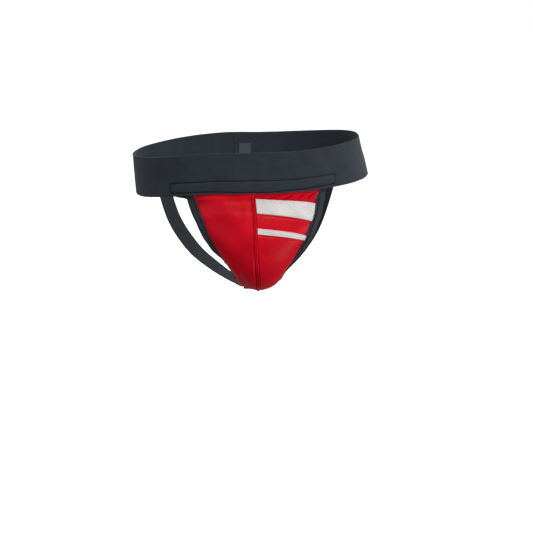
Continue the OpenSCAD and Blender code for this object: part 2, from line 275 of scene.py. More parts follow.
def shell(name, front, back, wrap=False):
    """Closed mesh between two grids of points, whose rows join up into a ring when wrapped."""
    rows, cols = front.shape[:2]
    turns = rows + 1 if wrap else rows
    index = np.arange(turns * cols).reshape(turns, cols)
    other = index + turns * cols
    parts = [quads(index), quads(other)[:, ::-1],
             quads(np.stack([other[:, 0], index[:, 0]], axis=1)),
             quads(np.stack([index[:, -1], other[:, -1]], axis=1))]
    if not wrap:
        parts += [quads(np.stack([other[0], index[0]])), quads(np.stack([index[-1], other[-1]]))]
    corners = np.concatenate(parts)
    owner = ((np.arange(turns) % rows)[:, None] * cols + np.arange(cols)).ravel()
    owner = np.concatenate([owner, owner + rows * cols])
    middle = front[np.arange(turns) % rows, cols // 2]
    uv = vec(arc(middle)[:, None], arc(front[rows // 2])[None, :]).reshape(-1, 2)
    uv = np.concatenate([uv, uv])
    points = np.concatenate([front.reshape(-1, 3), back.reshape(-1, 3)])
    return mesh(name, points, owner[corners], uv[corners])


def tubes(name, rings, closed=False):
    """Tubes in one mesh. rings is [tube, ring, point, xyz]; a closed tube joins up with itself."""
    count, n, m = rings.shape[:3]
    turns = n + 1 if closed else n
    index = np.arange(turns * (m + 1)).reshape(turns, m + 1)
    corners = quads(index)
    owner = ((np.arange(turns) % n)[:, None] * m + np.arange(m + 1) % m).ravel()
    around = np.arange(m + 1) * np.linalg.norm(rings[0, n // 2, 1] - rings[0, n // 2, 0])
    middle = rings.mean(axis=2)
    faces, uvs, caps = [], [], []
    for k in range(count):
        along = arc(middle[k][np.arange(turns) % n])
        faces.append(owner[corners] + k * n * m)
        uvs.append(vec(along[:, None], around[None, :]).reshape(-1, 2)[corners])
        if not closed:
            first = np.arange(m) + k * n * m
            caps += [first.tolist(), (first + (n - 1) * m)[::-1].tolist()]
    return mesh(name, rings.reshape(-1, 3), np.concatenate(faces), np.concatenate(uvs), caps)


def stitches(name, lines, pitch=3.6, length=2.9, r=0.36):
    """Rows of single stitches, each a short length of thread whose ends dive into the cloth.
    A line is a pair: points on the sewn surface, and the directions that the surface faces."""
    k = steps(6)
    arch = np.sqrt(np.sin(math.pi * np.clip(k, 0.02, 0.98)))
    turn = 2 * math.pi * np.arange(8) / 8
    found = []
    for line, out in lines:
        s = arc(line)
        count = max(int(s[-1] // pitch), 1)
        middle = (np.arange(count) + 0.5) * s[-1] / count
        at = middle[:, None] + (k - 0.5) * length
        centre = point_on(line, at)
        reach = min(0.3, s[-1] / 4)
        on_line = np.clip(at, reach, s[-1] - reach)
        along = unit(point_on(line, on_line + reach) - point_on(line, on_line - reach))
        face = unit(np.stack([np.interp(at, s, out[:, i]) for i in range(3)], axis=-1))
        side = np.cross(along, face)
        lift = (r * mix(-1.5, 0.45, arch))[None, :, None]
        round_r = (r * mix(0.6, 1, arch))[None, :, None, None]
        ring = (side[:, :, None] * np.cos(turn)[:, None] + face[:, :, None] * np.sin(turn)[:, None])
        found.append((centre + face * lift)[:, :, None] + ring * round_r)
    return tubes(name, np.concatenate(found))


def apply_modifiers(piece):
    """Puts the result of the piece's modifiers into its mesh."""
    graph = bpy.context.evaluated_depsgraph_get()
    data = bpy.data.meshes.new_from_object(piece.evaluated_get(graph))
    piece.modifiers.clear()
    piece.data = data


# ---- Waistband surface ----

def plan(a):
    depth = np.where(np.cos(a) > 0, BAND_FRONT, BAND_BACK)
    r = (np.abs(np.sin(a) / BAND_HALF_W) ** BAND_SQUARE
         + np.abs(np.cos(a) / depth) ** BAND_SQUARE) ** (-1 / BAND_SQUARE)
    return vec(r * np.sin(a), -r * np.cos(a))


def plan_out(a):
    step = plan(a + 0.009) - plan(a - 0.009)
    return unit(vec(step[..., 1], -step[..., 0]))


def on_band(a, t, off=0):
    """Point at angle a from the front, t above the band's middle, off outside its face."""
    s = np.sin(a)
    flare = np.where(s > 0, LEFT_FLARE, RIGHT_FLARE) * np.abs(s) ** 3
    p = plan(a) + plan_out(a) * np.asarray(off - flare * 2 * t / BAND_H)[..., None]
    return vec(p[..., 0], p[..., 1], t + HIP_TILT * s ** 3 - HIP_SAG * s ** 2)


def band_normal(a):
    n = plan_out(a)
    return vec(n[..., 0], n[..., 1], 0 * n[..., 0])


def angle_at(x):
    y = BAND_FRONT * (1 - (np.abs(x) / BAND_HALF_W) ** BAND_SQUARE) ** (1 / BAND_SQUARE)
    return np.arctan2(x, y)


HEM_STITCH_END = float(angle_at(HEM_STITCH_HALF_L))


def off_join(a):
    """Fades the band's waves out at its back join, so that both ends meet."""
    return smooth((math.pi - np.abs(a)) / 0.6)


def hem_stitch_top(a):
    """Upper row of stitches, which wanders a little."""
    return HEM_STITCH_TOP + 0.5 * ripple(a * BAND_R, 0 * a, 55, 2)


def hem_stitch_low(a):
    """Lower row of stitches: it closes on the band's edge in front of the pouch."""
    return 1.8 - BAND_H / 2 + 2.9 * smooth(np.abs(a) / HEM_STITCH_END)


def band_relief(a, t):
    """How far the elastic's face stands out at angle a and height t."""
    s = a * BAND_R
    inside = smooth((HEM_STITCH_END - np.abs(a)) * BAND_R / 1.5 + 0.5)
    low, high = hem_stitch_low(a), hem_stitch_top(a)
    grooves = bell(t - high, 1.1) + bell(t - low, 1.1)
    ends = bell((np.abs(a) - HEM_STITCH_END) * BAND_R, 0.95)
    ends = ends * smooth((t - low + 1) / 2) * smooth((high + 1 - t) / 2)
    between = smooth((t - low) / 4) * smooth((high - t) / 4)
    pucker = np.sin(s * 2 * math.pi / 7.2) * bell(t - high - 2, 3)
    edge = BAND_H / 2 - np.abs(t)
    selvedge = 0.22 * bell(edge - 0.9, 0.7) - 0.2 * bell(edge - 2.4, 0.5)
    dimple = 2.2 * bell(s - 118, 13) * bell(t - 17, 9) + 1.2 * bell(s + 38, 22) * bell(t - 20, 9)
    dimple = dimple + 1.0 * bell(s - 60, 26) * bell(t - 22, 8)
    waves = 0.7 * ripple(s, 1.5 * t, 75, 3) + 0.22 * ripple(s, 2.2 * t, 21, 4)
    return (waves * off_join(a) + selvedge - dimple - 1.9 * inside * grooves - 0.8 * ends
            + inside * (0.7 * between + 0.15 * pucker))


def band_edge_wave(a, t):
    """Small rise and fall of both edges along the band."""
    s = a * BAND_R
    wave = 0.55 * ripple(s, 0 * s, 120, 6) + 0.35 * t / BAND_H * ripple(s, 0 * s, 47, 7)
    return wave * off_join(a)


def elastic_point(a, t, relief=0):
    p = on_band(a, t, band_relief(a, t) + relief)
    p[..., 2] += band_edge_wave(a, t)
    return p


# ---- Pouch surface ----

def leather(u, v):
    """Outer face of the leather: u from -1 at the right edge to 1 at the left edge, v from 0 at
    the hem to 1 at the crotch."""
    u, v = np.broadcast_arrays(u, v)
    c = through(SEAM_LINE, v)
    along = heading(SEAM_LINE, v)
    turn = SECTION_TURN * np.abs(u)
    across = through(POUCH_HALF_W, v) * np.sin(turn) / math.sin(SECTION_TURN) * np.sign(u)
    x = across + through(POUCH_SHIFT, v) + through(SEAM_LEAN, v) * (1 - u * u)
    bow = (1 - RIDGE) * (1 - np.cos(turn)) / (1 - math.cos(SECTION_TURN)) + RIDGE * np.abs(u)
    depth = through(POUCH_DEPTH, v) * bow
    hem = on_band(angle_at(x), c[..., 1], -BAND_T - 0.5)
    k = smooth((HEM_Z - c[..., 1]) / HEM_BLEND)
    return vec(x, mix(hem[..., 1], c[..., 0] - along[..., 1] * depth, k),
               mix(hem[..., 2], c[..., 1] + along[..., 0] * depth, k))


def leather_in(u, v):
    """Unit normal of the leather, towards the wearer."""
    du = leather(u + 0.01, v) - leather(u - 0.01, v)
    dv = leather(u, np.minimum(v + 0.01, 1)) - leather(u, np.maximum(v - 0.01, 0))
    return unit(np.cross(du, dv))


def pouch(u, v, depth=0):
    return leather(u, v) + leather_in(u, v) * np.asarray(depth)[..., None]


def beside_seam(x, v):
    """u of the point at a given distance to the side of the seam."""
    return np.arcsin(x * math.sin(SECTION_TURN) / through(POUCH_HALF_W, v)) / SECTION_TURN


SEAM_V = steps(400)
SEAM_Z = through(SEAM_LINE, SEAM_V)[:, 1]


def v_at(z):
    return np.interp(-z, -SEAM_Z, SEAM_V)


def strip_v(strip, below, u):
    """v of a line on a trim strip, below its upper edge by that distance."""
    return v_at(strip[0] - below - STRIP_DROP * u)


def seam_relief(x, s):
    """Felled seam: a raised welt between two rows of stitches, with the join down its middle."""
    welt = 1.0 * np.sqrt(np.clip(1 - ((x - 0.9) / 1.4) ** 2, 0, 1))
    pucker = 0.14 * np.sin(s * 2 * math.pi / 3.6) * bell(x - 3.8, 1.8)
    return welt - 0.8 * bell(x, 0.42) - 1.2 * bell(x - SEAM_STITCH_X, 0.7) + pucker


def striped_folds(x, z):
    """Diagonal folds where the striped panel meets the band, small dents beside the seam, and
    the leather pulled down beside the stitched edges of each strip."""
    fan = z - 0.22 * (x - 20) - 0.0045 * (x - 20) ** 2
    creases = bell(np.sin(fan * math.pi / 9.5 + 0.5), 0.42)
    near_band = smooth((z + 46) / 10) * smooth((x - 6) / 22) * smooth((97 - x) / 10)
    dents = bell(x - 11, 6) * bell(z + 92, 5) + bell(x - 13, 4) * bell(z + 118, 4)
    total = near_band * (0.8 - 3.2 * creases) - 0.5 * dents
    for top, width in (BROAD_STRIP, SLIM_STRIP):
        below = top - STRIP_DROP * x / 80 - z
        edges = bell(below + 1.6, 1.3) + bell(below - width - 1.6, 1.3)
        total = total - 0.7 * smooth((x - 2) / 3) * edges
    return total


def plain_folds(x, z):
    """Long crease from the top corner of the plain panel, full above its line and drawn in below
    it, a faint line under the hem, a soft pull beside the seam, and the flat near the tip."""
    line = (z + 36) + 0.6 * (88 - x)
    fade = smooth((x - 8) / 36)
    crease = fade * (2.8 * bell(line - 12, 16) - 2.4 * bell(line + 12, 18))
    hem = 0.35 * bell(z + 37.5, 1.2) * smooth((x - 5) / 20)
    q = np.hypot((x - 5) / 22, (z + 143) / 36)
    flat = 1.5 * np.clip(1 - q * q, 0, 1) - 0.9 * bell(q - 1, 0.25)
    pull = 0.7 * bell(x - 13 + 0.1 * (z + 60), 5) * bell(z + 62, 18)
    return crease + hem + pull + flat * smooth((x - 2) / 4)


def panel_relief(u, v):
    """How far the leather stands out from its plain curve. It is calm where the band and the
    crotch tabs hold it."""
    turn = SECTION_TURN * np.abs(u)
    half_w = through(POUCH_HALF_W, v)
    x = half_w * np.sin(turn) / math.sin(SECTION_TURN)
    edge = half_w * (1 - np.abs(u)) * 1.15
    s = v * SEAM_LENGTH
    z = through(SEAM_LINE, v)[..., 1]
    folds = np.where(np.asarray(u) > 0, striped_folds(x, z), plain_folds(x, z))
    pull = -0.5 * bell(edge, 4) + 0.16 * ripple(s, 0 * s, 13, 11) * bell(edge - 5, 6)
    soft = 0.3 * ripple(x * np.sign(u), z, 52, 12) + 0.05 * ripple(x * np.sign(u), z, 16, 13)
    below_band = smooth((HEM_Z + 1 - z) / 7)
    above_tab = smooth((1 - v) / 0.06)
    folds = folds + pull + soft * smooth((x - 3) / 8)
    total = (seam_relief(x, s) * mix(0.3, 1, below_band) + folds * below_band) * above_tab
    return np.maximum(total, -DEEPEST_FOLD)


# ---- Cup surface ----

def cup_face(p, q):
    """Outer face of the cup for a point of the unit disc, q up."""
    k = (1 - q) / 2
    c = through(CUP_LINE, k)
    along = heading(CUP_LINE, k)
    depth = CUP_DEPTH * p * p
    return vec(CUP_X + p * (CUP_HALF_W + CUP_TAPER * q), c[..., 0] - along[..., 1] * depth,
               c[..., 1] + along[..., 0] * depth)


def cup_in(p, q):
    across = cup_face(p + 0.01, q) - cup_face(p - 0.01, q)
    down = cup_face(p, q - 0.01) - cup_face(p, q + 0.01)
    return unit(np.cross(across, down))


def cup_at(p, q, depth=0):
    return cup_face(p, q) + cup_in(p, q) * np.asarray(depth)[..., None]


# ---- Materials ----

def linear(red, green, blue):
    """Shader colour from screen values of 0 to 255."""
    return tuple(((c / 255 + 0.055) / 1.055) ** 2.4 if c > 10 else c / 255 / 12.92
                 for c in (red, green, blue)) + (1,)


class Look:
    """A procedural material under construction."""

    def __init__(self, name, roughness, **sockets):
        self.made = bpy.data.materials.new(name)
        self.made.use_nodes = True
        self.tree = self.made.node_tree
        self.shader = self.tree.nodes["Principled BSDF"]
        self.shader.inputs["Roughness"].default_value = roughness
        for key, value in sockets.items():
            self.shader.inputs[key.replace("_", " ")].default_value = value

    def node(self, kind, *values, **settings):
        """Adds a node. Values go to its inputs in order, and None leaves one alone."""
        made = self.tree.nodes.new("ShaderNode" + kind)
        for key, value in settings.items():
            setattr(made, key, value)
        for socket, value in zip(made.inputs, values):
            if isinstance(value, bpy.types.NodeSocket):
                self.tree.links.new(value, socket)
            elif value is not None:
                socket.default_value = value
        return made

    def maths(self, operation, *values):
        return self.node("Math", *values, operation=operation).outputs[0]

    def uv(self, turn=0):
        """The piece's own length and width in metres, which may be turned."""
        coords = self.node("UVMap", uv_map="metres").outputs[0]
        return self.node("Mapping", coords, None, (0, 0, turn)).outputs[0]

    def place(self):
        """Place in the object's frame, in metres."""
        return self.node("TexCoord").outputs["Object"]

    def noise(self, coords, scale, detail=3, roughness=0.5):
        made = self.node("TexNoise", coords)
        made.inputs["Scale"].default_value = scale
        made.inputs["Detail"].default_value = detail
        made.inputs["Roughness"].default_value = roughness
        return made.outputs[0]

    def wave(self, coords, pitch, axis):
        """Ridges across the piece's own length or width, a given number of metres apart."""
        split = self.node("SeparateXYZ", coords).outputs[axis]
        return self.maths("SINE", self.maths("MULTIPLY", split, 2 * math.pi / pitch))

    def span(self, value, low, high, source=(0, 1)):
        """Value brought from one range to another, and kept inside it."""
        return self.node("MapRange", value, source[0], source[1], low, high).outputs[0]

    def blend(self, factor, first, second):
        """Colour between two colours."""
        made = self.node("Mix", factor, data_type="RGBA")
        made.inputs[6].default_value = first
        made.inputs[7].default_value = second
        return made.outputs[2]

    def finish(self, colour, height, depth, strength=1.0, roughness=None):
        """Joins colour, roughness and bump to the shader. depth is the bump's height in metres."""
        self.tree.links.new(colour, self.shader.inputs["Base Color"])
        if roughness is not None:
            self.tree.links.new(roughness, self.shader.inputs["Roughness"])
        bump = self.node("Bump")
        bump.inputs["Strength"].default_value = strength
        bump.inputs["Distance"].default_value = depth
        self.tree.links.new(height, bump.inputs["Height"])
        self.tree.links.new(bump.outputs[0], self.shader.inputs["Normal"])
        return self.made


def woven(name, dark, light, warp, weft, depth, sheen=0.25, fuzz=0.35):
    """Woven webbing: ribs along the piece crossed by picks, with a little fuzz. Its colour mixes a
    random tone with painted shade, darker between the ribs.
    """
    look = Look(name, 0.85, Sheen_Weight=sheen, Sheen_Roughness=0.5, Specular_IOR_Level=0.3)
    coords = look.uv()
    ribs = look.wave(coords, warp, 1)
    picks = look.wave(coords, weft, 0)
    weave = look.maths("MULTIPLY", ribs, picks)
    ribs_up = look.span(ribs, 0, 1, (-1, 1))
    body = look.maths("MULTIPLY_ADD", weave, 0.35, ribs_up)
    hair = look.noise(look.place(), 2600, 2, 0.7)
    height = look.maths("MULTIPLY_ADD", hair, fuzz, body)
    patches = look.noise(look.place(), 34, 4, 0.6)
    # Random tone plus painted shade: lighter on the raised ribs, darker in the hollows between them.
    tone_and_shade = look.maths("MULTIPLY_ADD", patches, 0.7, look.span(body, 0, 0.5, (-0.3, 1.3)))
    colour = look.blend(look.span(tone_and_shade, 0, 1, (0.1, 1.0)), dark, light)
    return look.finish(colour, height, depth, roughness=look.span(patches, 0.78, 0.92))


def smooth_leather(name, dark, light, gloss=0.4):
    """Finished leather: fine pebbles between creases, soft shine that changes from place to place. Its
    colour mixes a random tone with painted shade, darker in the grooves between pebbles.
    """
    look = Look(name, gloss, Coat_Weight=0.02, Coat_Roughness=0.16, Specular_IOR_Level=0.1)
    coords = look.place()
    cells = look.node("TexVoronoi", coords, feature="DISTANCE_TO_EDGE")
    cells.inputs["Scale"].default_value = 850
    pebbles = look.span(cells.outputs[0], 0, 1, (0.0, 0.22))
    fine = look.noise(coords, 2400, 2, 0.6)
    height = look.maths("MULTIPLY_ADD", fine, 0.3, pebbles)
    patches = look.noise(coords, 26, 4, 0.55)
    # Random tone plus painted shade: lighter on the pebble tops, darker in the grooves between them.
    tone_and_shade = look.maths("MULTIPLY_ADD", patches, 0.75, look.span(pebbles, 0, 0.3))
    colour = look.blend(look.span(tone_and_shade, 0, 1, (0.25, 0.95)), dark, light)
    return look.finish(colour, height, 0.00012, 0.35, look.span(patches, gloss - 0.05, gloss + 0.1))


def knitted(name, dark, light, pitch):
    """Warp-knitted lining: columns of small loops. Its colour mixes a random tone with painted shade,
    darker between the loops.
    """
    look = Look(name, 0.9, Sheen_Weight=0.35, Sheen_Roughness=0.4, Specular_IOR_Level=0.25)
    coords = look.uv()
    columns = look.wave(coords, pitch, 1)
    loops = look.wave(look.uv(turn=math.radians(28)), pitch * 0.8, 0)
    loops_back = look.wave(look.uv(turn=math.radians(-28)), pitch * 0.8, 0)
    legs = look.maths("MAXIMUM", loops, loops_back)
    height = look.maths("MULTIPLY_ADD", legs, 0.5, columns)
    hair = look.noise(look.place(), 2200, 2, 0.7)
    height = look.maths("MULTIPLY_ADD", hair, 0.5, height)
    patches = look.noise(look.place(), 40, 4, 0.6)
    # Random tone plus painted shade: lighter on the raised loops, darker in the hollows between them.
    tone_and_shade = look.maths("MULTIPLY_ADD", patches, 1.1, look.span(height, -0.2, 0.4, (-1, 1.5)))
    colour = look.blend(look.span(tone_and_shade, 0, 1, (0.2, 1.1)), dark, light)
    return look.finish(colour, height, 0.00012, 0.8, look.span(patches, 0.82, 0.95))


def sewing_thread(name, dark, light, shine=0.4):
    """Twisted thread: plies that wind round each stitch. Its colour mixes a random tone with painted
    shade, darker between the plies.
    """
    look = Look(name, 0.55, Sheen_Weight=shine / 2, Specular_IOR_Level=shine)
    plies = look.wave(look.uv(turn=math.radians(40)), 0.00045, 0)
    patches = look.noise(look.place(), 180, 3, 0.6)
    # Random tone plus painted shade: lighter on the ply ridges, darker between them.
    tone_and_shade = look.maths("MULTIPLY_ADD", plies, 0.2, patches)
    colour = look.blend(look.span(tone_and_shade, 0, 1, (0.2, 0.9)), dark, light)
    return look.finish(colour, plies, 0.00006, 0.8, look.span(patches, 0.45, 0.65))


def moulded(name, dark, light, roughness, pimple, depth):
    """Moulded plastic or rubber: a fine even texture, faint flow marks and light rubbing."""
    look = Look(name, roughness, Specular_IOR_Level=0.5)
    coords = look.place()
    fine = look.noise(coords, pimple, 2, 0.55)
    flow = look.noise(look.node("Mapping", coords, None, None, (18, 18, 60)).outputs[0], 1.6, 4, 0.6)
    worn = look.noise(coords, 90, 5, 0.65)
    colour = look.blend(look.span(flow, 0, 1, (0.3, 0.75)), dark, light)
    gloss = look.span(worn, roughness - 0.08, roughness + 0.12, (0.3, 0.7))
    return look.finish(colour, fine, depth, 0.5, gloss)


LOOKS = {
    "band_elastic": woven("band_elastic", linear(20, 26, 34), linear(49, 58, 69), 0.0012, 0.0009,
                          0.00022, sheen=0.12),
    "strap_elastic": woven("strap_elastic", linear(18, 22, 27), linear(42, 48, 55), 0.0015, 0.001,
                           0.00025, sheen=0.12),
    "binding_elastic": woven("binding_elastic", linear(14, 18, 24), linear(44, 50, 59), 0.0008,
                             0.0008, 0.00015, sheen=0.2),
    "pouch_leather": smooth_leather("pouch_leather", linear(176, 0, 22), linear(226, 0, 32)),
    "trim_leather": smooth_leather("trim_leather", linear(190, 186, 184), linear(238, 236, 235),
                                   gloss=0.42),
    "lining_fabric": knitted("lining_fabric", linear(34, 37, 42), linear(70, 75, 82), 0.0011),
    "thread_black": sewing_thread("thread_black", linear(3, 4, 5), linear(12, 13, 15),
                                  shine=0.06),
    "thread_red": sewing_thread("thread_red", linear(120, 8, 22), linear(190, 20, 40)),
    "thread_white": sewing_thread("thread_white", linear(196, 194, 190), linear(236, 235, 232)),
    "label_fabric": woven("label_fabric", linear(50, 54, 60), linear(78, 82, 88), 0.0004,
                          0.0004, 0.00006, sheen=0.3, fuzz=0.2),
    "cup_plastic": moulded("cup_plastic", linear(196, 199, 203), linear(222, 225, 228), 0.38, 1500,
                           0.00008),
    "gasket_rubber": moulded("gasket_rubber", linear(22, 23, 26), linear(40, 42, 46), 0.6, 900,
                             0.0001),
}


def dress(piece, slot, *nodes, body="garment"):
    """Gives a piece its look and its body, and hides the CAD nodes that it stands for."""
    piece.data.materials.clear()
    piece.data.materials.append(LOOKS[slot])
    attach(piece, body)
    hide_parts(*nodes)


# ---- Waistband pieces ----

def rounded(w, squareness):
    """Thickness of a strip at w from -1 to 1 across it, as a share, thinning at both edges."""
    return np.clip(1 - np.abs(w) ** squareness, 0.1, 1) ** 0.5


def waistband():
    a, w = grid(steps(840, -math.pi, math.pi)[:-1], crowded(72))
    t = w * BAND_H / 2
    half = BAND_T / 2 * rounded(w, 40)
    front = elastic_point(a, t, half - BAND_T / 2)
    back = on_band(a, t, -BAND_T / 2 - half + 0.6 * (band_relief(a, t) - 0.2))
    back[..., 2] += band_edge_wave(a, t)
    piece = shell("band_elastic", front, back, wrap=True)
    dress(piece, "band_elastic", "waistband")


def band_patch(name, angles, heights, off, thick, bulge):
    """Patch with rounded edges that lies on the inside of the band, bulging a little."""
    along, w = grid(steps(60, -1, 1), crowded(30))
    a = np.radians(mix(*angles, (along + 1) / 2))
    t = mix(*heights, (w + 1) / 2)
    half = thick / 2 * rounded(w, 24) * rounded(along, 40)
    wave = bulge * ripple(a * BAND_R, t, 11, 21)
    middle = off - thick / 2 + wave
    return shell(name, on_band(a, t, middle + half), on_band(a, t, middle - half))


def back_join_patch():
    piece = band_patch("join_patch", JOIN_PATCH_ANGLES, JOIN_PATCH_HEIGHTS, -BAND_T - 0.3, 1, 0.15)
    dress(piece, "band_elastic", "back_join_patch")


def care_label():
    piece = band_patch("blank_label", LABEL_ANGLES, LABEL_HEIGHTS, -BAND_T - 1.6, 0.6, 0.2)
    dress(piece, "label_fabric", "care_label")


def backing():
    xs, w = grid(steps(260, -BACKING_HALF_L, BACKING_HALF_L), steps(24))
    low = 1 - BAND_H / 2 - BACKING_DROP * smooth((BACKING_HALF_L - np.abs(xs)) / 30)
    t = mix(low, BACKING_TOP, w)
    off = -BAND_T - 0.3 - HEM_ROOM * smooth((HEM_HALF_W - np.abs(xs - HEM_X)) / 9)
    a = angle_at(xs)
    wave = 0.35 * ripple(a * BAND_R, t, 24, 23)
    half = BACKING_T / 2 * rounded(2 * w - 1, 20)
    off = off - BACKING_T / 2 + wave
    piece = shell("band_backing", on_band(a, t, off + half), on_band(a, t, off - half))
    dress(piece, "strap_elastic", "front_backing")


def hem_stitches():
    a = steps(300, -HEM_STITCH_END, HEM_STITCH_END)
    rows = [(a, hem_stitch_top(a)), (a, hem_stitch_low(a))]
    for end in (-HEM_STITCH_END, HEM_STITCH_END):
        t = steps(30, float(hem_stitch_low(end)), float(hem_stitch_top(end)))
        rows.append((0 * t + end, t))
    lines = [(elastic_point(b, t), band_normal(b)) for b, t in rows]
    piece = stitches("hem_stitches", lines, pitch=3.4, length=3.25, r=0.72)
    dress(piece, "thread_black", "hem_topstitch")


# ---- Pouch pieces ----

def leather_panel(name, side):
    """One half of the pouch. Its points are closest together at the seam."""
    v, k = grid(steps(260), steps(110))
    u = side * mix(0.0006, 1, k ** 1.35)
    relief = panel_relief(u, v)
    back = pouch(u, v, np.maximum(LEATHER_T, 0.7 - relief))
    return shell(name, pouch(u, v, -relief), back)


def pouch_panels():
    for side, word in SIDES:
        piece = leather_panel("leather_" + word, side)
        dress(piece, "pouch_leather", "pouch_panel_" + word)


def seam_tape():
    v, w = grid(steps(160), steps(10, -1, 1))
    u = beside_seam(SEAM_TAPE_W / 2 * w, v)
    half = 0.4 * rounded(w, 8)
    middle = LEATHER_T + 0.7
    piece = shell("seam_tape", pouch(u, v, middle - half), pouch(u, v, middle + half))
    dress(piece, "lining_fabric", "centre_seam_tape")


def sewn_line(u, v):
    """Line on the leather and the way that it faces, for a row of stitches."""
    return pouch(u, v, -panel_relief(u, v)), -leather_in(u, v)


def seam_stitches():
    v = steps(400, *STITCHED_V)
    lines = [sewn_line(beside_seam(x, v), v) for x in (-SEAM_STITCH_X, SEAM_STITCH_X)]
    piece = stitches("seam_stitches", lines, r=0.32)
    dress(piece, "thread_red", "seam_topstitch")


def strip_out(y, width, s):
    """Height of a strip's face over the leather, y below its upper edge and s along it: a flat
    border, a row of stitches, and a middle that is finely creased along its length."""
    rim = np.minimum(y, width - y)
    face = STRIP_T + 0.3 - 0.55 * bell(rim - STRIP_STITCH_IN, 0.5)
    middle = smooth((rim - STRIP_STITCH_IN) / 1.2)
    creases = 0.34 * ripple(0.16 * s, y, 2.8, 33) + 0.3 * ripple(0.3 * s, y, 6, 34)
    pucker = 0.1 * np.sin(s * 2 * math.pi / 3.2) * bell(rim, 1.6)
    return face * np.clip(rim / 0.4, 0.1, 1) ** 0.5 + middle * creases + pucker


def trim_strip(name, strip, node):
    u, w = grid(steps(190, *STRIP_U), crowded(44))
    y = strip[1] * (w + 1) / 2
    v = strip_v(strip, y, u)
    base = STRIP_FOLLOWS * panel_relief(u, v)
    face = base + strip_out(y, strip[1], u * 100)
    piece = shell(name, pouch(u, v, -face), pouch(u, v, 0.5 - base))
    dress(piece, "trim_leather", node)


def strip_stitches():
    lines = []
    for strip in (BROAD_STRIP, SLIM_STRIP):
        for below in (STRIP_STITCH_IN, strip[1] - STRIP_STITCH_IN):
            u = steps(200, STRIP_U[0] + 0.01, STRIP_U[1] - 0.01)
            v = strip_v(strip, below, u)
            out = strip_out(below + 0 * u, strip[1], u * 100)
            out = out + STRIP_FOLLOWS * panel_relief(u, v)
            lines.append((pouch(u, v, -out), -leather_in(u, v)))
    piece = stitches("strip_stitches", lines, pitch=3.2, length=2.5, r=0.3)
    dress(piece, "thread_white", "trim_topstitch")


def linings():
    for side, word in SIDES:
        v, u = grid(steps(150), side * steps(60, 0.002, 0.99))
        wave = 0.25 * ripple(u * 90, v * SEAM_LENGTH, 19, 31)
        front = pouch(u, v, LINING_DEPTH + wave)
        back = pouch(u, v, LINING_DEPTH + LINING_T + wave)
        piece = shell("lining_knit_" + word, front, back)
        dress(piece, "lining_fabric", "lining_" + word)


def pocket_at(u, v, depth):
    """Surface behind the cup, hung from the pouch's side edges."""
    edge = leather(u, v)
    inward = leather_in(0 * u, v)
    low = through(POUCH_DEPTH, v) + POCKET_ROOM * smooth(v * 3)
    drop = np.einsum("...i,...i->...", edge - leather(0 * u, v), inward)
    swell = through(POCKET_SWELL, v) * (1 - np.abs(u) ** 3)
    return edge + inward * (low - drop + swell + depth)[..., None]


def pocket_sheet(name, v_range, depth, thick, rows, cols, relief):
    v, u = grid(steps(rows, *v_range), steps(cols, -POCKET_HALF_U, POCKET_HALF_U))
    wave = relief(u, v)
    return shell(name, pocket_at(u, v, depth + wave), pocket_at(u, v, depth + thick + wave))


def pocket_folds(u, v):
    """Gathers under the elastic that fade down the pocket, and soft slack lower down."""
    x = u * through(POUCH_HALF_W, v)
    fade = bell(v - POCKET_V[0], 0.16)
    side = smooth((POCKET_HALF_U - np.abs(u)) / 0.1)
    gathers = 0.9 * np.sin(x * 2 * math.pi / 9 + 1.6 * ripple(x, v * 200, 30, 41))
    return side * (gathers * fade + 0.5 * ripple(x, v * SEAM_LENGTH, 28, 42) + 0.4)


def pocket_mouth(u, v):
    x = u * through(POUCH_HALF_W, v)
    middle = (v - POCKET_MOUTH_V[0]) / (POCKET_MOUTH_V[1] - POCKET_MOUTH_V[0])
    cord = 0.25 * np.cos(2 * math.pi * middle * 3)
    return 0.35 * np.sin(x * 2 * math.pi / 4.5 + ripple(x, 0 * x, 25, 43)) + cord


def pocket():
    piece = pocket_sheet("pocket_knit", POCKET_V, 0, LINING_T, 150, 130, pocket_folds)
    dress(piece, "lining_fabric", "pocket_back")
    piece = pocket_sheet("pocket_mouth", POCKET_MOUTH_V, -0.3, 1.6, 24, 220, pocket_mouth)
    dress(piece, "binding_elastic", "pocket_top_elastic")


# ---- Binding ----

def beside_edge(side, v, out, depth):
    """Point beside the leather's edge. Below the band the binding turns to lie flat to the
    front, but the lip that laps over the leather keeps the leather's own direction."""
    rim = leather(side, v)
    z = through(SEAM_LINE, v)[..., 1]
    turn = EDGE_TURN * smooth((HEM_Z - z) / 14) * smooth((z - EDGE_TURN_END) / 35)
    turn = turn * smooth(out / 2)
    outward = unit(unit(rim - leather(side * 0.96, v)) + vec(side * turn, 0, 0))
    inward = leather_in(side, v)
    inward = unit(inward - outward * np.einsum("...i,...i->...", inward, outward)[..., None])
    return rim + outward * np.asarray(out)[..., None] + inward * np.asarray(depth)[..., None]


def binding_lift(out, s, v):
    """How far the binding's face stands out: a lip over the leather, a row of stitches, and two
    soft rolls of folded elastic with a groove between them."""
    lip = 1.15 - 0.9 * bell(out + BINDING_LIP, 0.5)
    groove = 1.7 * bell(out - BINDING_STITCH_OUT, 1.0) + 1.5 * bell(out - 8.4, 1.3)
    fall = 2.2 * smooth((out - 8) / 4.5)
    gathers = 0.16 * np.sin(s * 2 * math.pi / 3.6) * bell(out - BINDING_STITCH_OUT, 2)
    gathers = gathers + 0.3 * ripple(s, out * 2, 17, 51)
    below_band = smooth((HEM_Z - through(SEAM_LINE, v)[..., 1]) / 14)
    return mix(-0.5 - 0.12 * out, lip - groove - fall + gathers, below_band)


